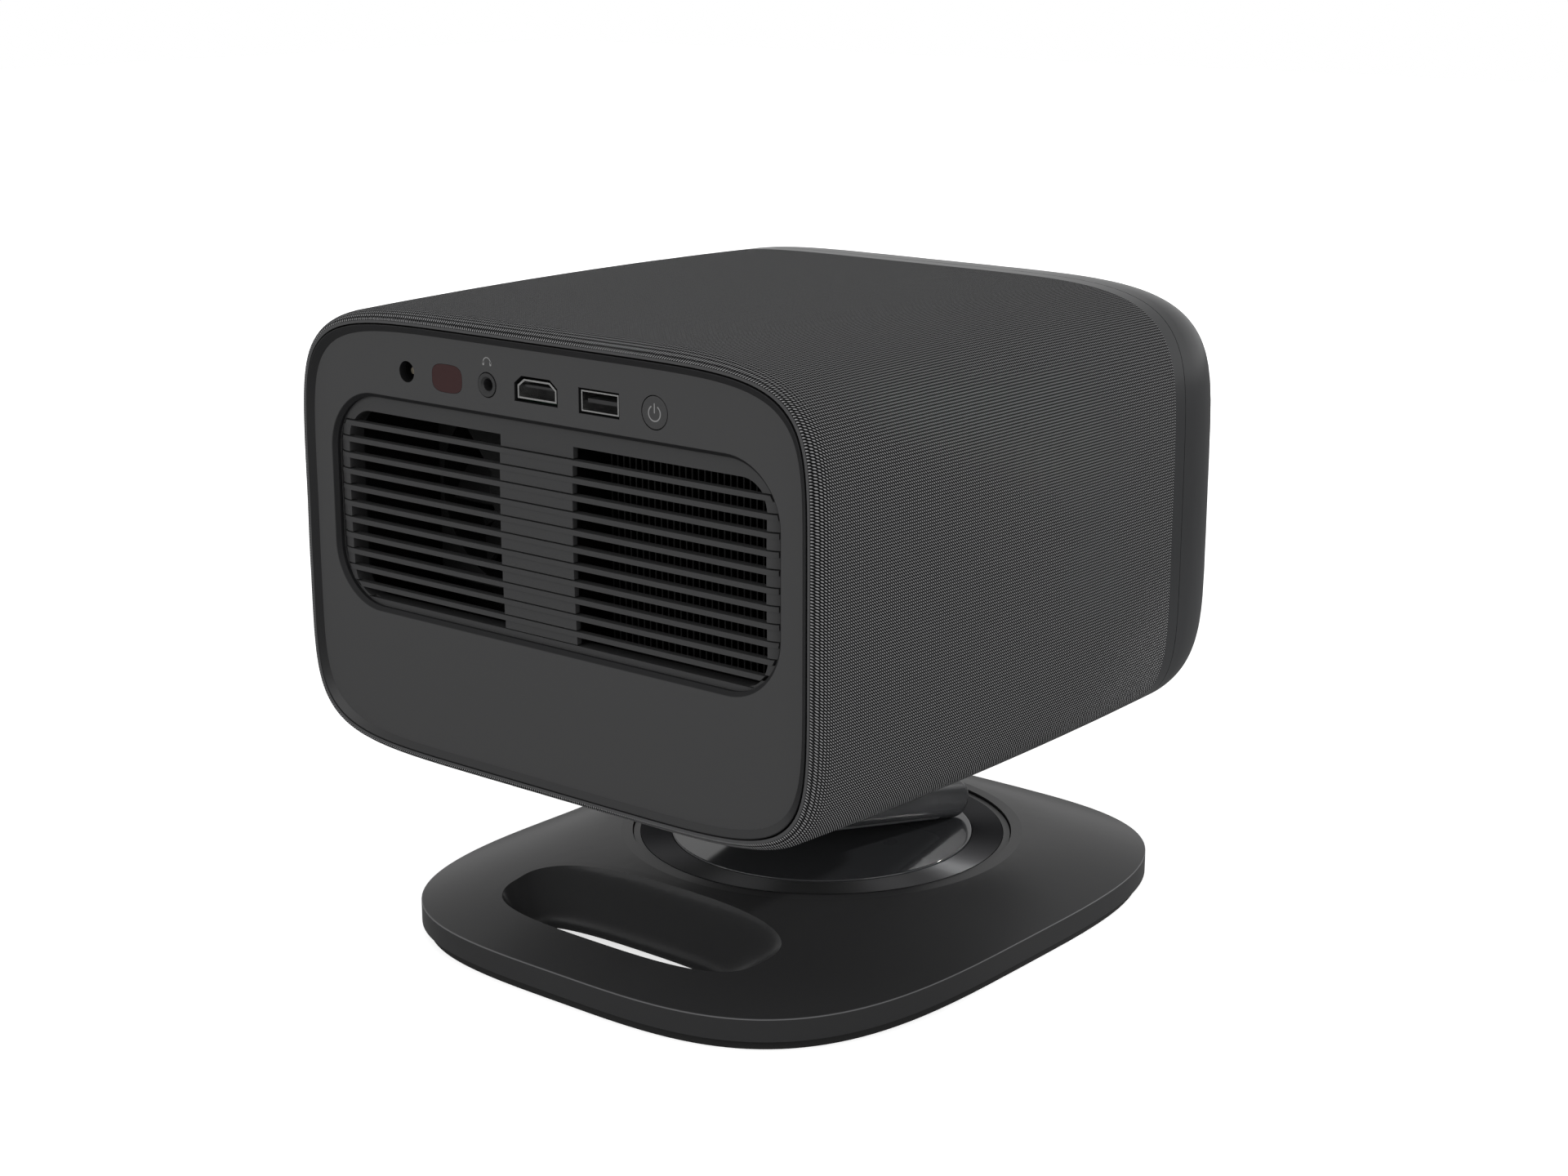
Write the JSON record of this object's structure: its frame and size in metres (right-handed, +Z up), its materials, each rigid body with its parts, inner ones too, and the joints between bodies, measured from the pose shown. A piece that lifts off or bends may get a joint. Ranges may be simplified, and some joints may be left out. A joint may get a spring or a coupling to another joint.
{
  "type": "smart projector",
  "caption": "Smart projector with a cloth-wrapped rounded box head, rear louvre grille and socket row, tilting on a hinged arm above a turntable in a low weighted base with a hand slot",
  "frame": {"origin": "on the floor, below the middle of the whole part", "axes": "+Z is up, the lens looks along -Y, the socket panel and the hand slot face +Y"},
  "size_m": [0.2061, 0.2259, 0.2024],
  "materials": {
    "base_coat": "fine matt coat",
    "under_plate": "moulded matt",
    "foot_rubber": "matt",
    "ballast_iron": "as cast",
    "swivel_washer": "smooth",
    "screw_steel": "plated",
    "turntable_metal": "turned, satin",
    "spun_metal": "dark, spun in fine circles",
    "cap_coat": "matt coat",
    "retainer_steel": "brushed",
    "hinge_metal": "matt dark coat",
    "pin_steel": "ground",
    "arm_coat": "matt dark coat",
    "arm_trim": "satin",
    "bracket_steel": "plated sheet",
    "sleeve_plastic": "moulded matt",
    "speaker_cloth": "fine woven, dark grey",
    "piping": "satin",
    "bezel_plastic": "satin to gloss",
    "panel_plastic": "fine texture",
    "grille_plastic": "fine texture",
    "cover_plastic": "satin",
    "front_glass": "smoked, polished",
    "board_green": "solder mask",
    "socket_metal": "nickel plated",
    "socket_insert": "moulded",
    "jack_plastic": "moulded",
    "pin_brass": "plated",
    "ir_plastic": "dark tinted, polished",
    "ir_dome": "moulded",
    "switch_plastic": "moulded",
    "button_plastic": "fine texture",
    "duct_plastic": "moulded",
    "fan_plastic": "moulded",
    "rotor_plastic": "moulded",
    "fin_aluminium": "mill finish",
    "pipe_copper": "copper, bright",
    "engine_metal": "moulded, filled",
    "barrel_metal": "black anodised",
    "lens_glass": "polished, coated",
    "motor_metal": "drawn can",
    "camera_plastic": "moulded",
    "speaker_plastic": "moulded"
  },
  "bodies": {
    "base": {"base_shell": "base_coat", "base_bottom": "under_plate", "base_foot": "foot_rubber", "ballast_plate": "ballast_iron", "swivel_washer": "swivel_washer", "base_screws": "screw_steel"},
    "turntable": {"turntable_disc": "turntable_metal", "turntable_ring": "spun_metal", "turntable_cap": "cap_coat", "swivel_retainer": "retainer_steel", "retainer_screws": "screw_steel", "base_knuckle": "hinge_metal"},
    "arm": {"arm_body": "arm_coat", "arm_plate": "arm_trim", "arm_screws": "screw_steel", "lower_hinge_pin": "pin_steel", "upper_hinge_pin": "pin_steel"},
    "power_button": {"power_button": "button_plastic"},
    "fan_rotor_left": {"fan_rotor_left": "rotor_plastic"},
    "fan_rotor_right": {"fan_rotor_right": "rotor_plastic"},
    "focus_screw": {"focus_screw": "pin_steel"},
    "lens_carriage": {"lens_carriage": "barrel_metal", "lens_glass": "lens_glass"},
    "head": {"button_switch": "switch_plastic", "camera_module": "camera_plastic", "chassis_plate": "bracket_steel", "dc_jack": "jack_plastic", "dc_pin": "pin_brass", "fabric_wrap": "speaker_cloth", "fan_frames": "fan_plastic", "fan_wall": "duct_plastic", "focus_motor": "motor_metal", "front_cover": "cover_plastic", "front_glass": "front_glass", "guide_rods": "pin_steel", "hdmi_shell": "socket_metal", "hdmi_tongue": "socket_insert", "head_knuckle": "hinge_metal", "head_screws": "screw_steel", "headphone_jack": "jack_plastic", "heat_pipes": "pipe_copper", "heat_sink": "fin_aluminium", "hinge_bracket": "bracket_steel", "ir_receiver": "ir_dome", "ir_window": "ir_plastic", "led_module": "engine_metal", "lens_barrel": "barrel_metal", "main_board": "board_green", "optical_engine": "engine_metal", "power_board": "board_green", "rear_bezel": "bezel_plastic", "rear_grille": "grille_plastic", "rear_panel": "panel_plastic", "sleeve_shell": "sleeve_plastic", "speakers": "speaker_plastic", "trim_ring": "piping", "usb_shell": "socket_metal", "usb_tongue": "socket_insert", "wifi_antenna": "board_green"}
  },
  "joints": [
    {"name": "base_swivel", "type": "hinge", "parent": "base", "child": "turntable", "pos_m": [0, -0.01585, 0.012], "axis": [0, 0, 1], "continuous": true},
    {"name": "arm_lift", "type": "hinge", "parent": "turntable", "child": "arm", "pos_m": [0, -0.05015, 0.0267], "axis": [1, 0, 0], "range_deg": [0, 20]},
    {"name": "head_tilt", "type": "hinge", "parent": "arm", "child": "head", "pos_m": [0, 0.04777, 0.04698], "axis": [-1, 0, 0], "range_deg": [-10, 30]},
    {"name": "power_button_press", "type": "slide", "parent": "head", "child": "power_button", "axis": [0, -1, 0], "range_m": [0, 0.0005], "stiffness_N_per_m": 800},
    {"name": "fan_left_spin", "type": "hinge", "parent": "head", "child": "fan_rotor_left", "pos_m": [0.048, 0.06865, 0.141], "axis": [0, 1, 0], "continuous": true},
    {"name": "fan_right_spin", "type": "hinge", "parent": "head", "child": "fan_rotor_right", "pos_m": [-0.048, 0.05165, 0.141], "axis": [0, 1, 0], "continuous": true},
    {"name": "focus_screw_turn", "type": "hinge", "parent": "head", "child": "focus_screw", "pos_m": [0, -0.05835, 0.098], "axis": [0, 1, 0], "range_deg": [-378, 378]},
    {"name": "lens_focus", "type": "slide", "parent": "head", "child": "lens_carriage", "axis": [0, 1, 0], "range_m": [-0.002, 0.002]}
  ],
  "couplings": [
    {"joint": "focus_screw_turn", "follows": "lens_focus", "rad_per_m": 3141.6}
  ]
}
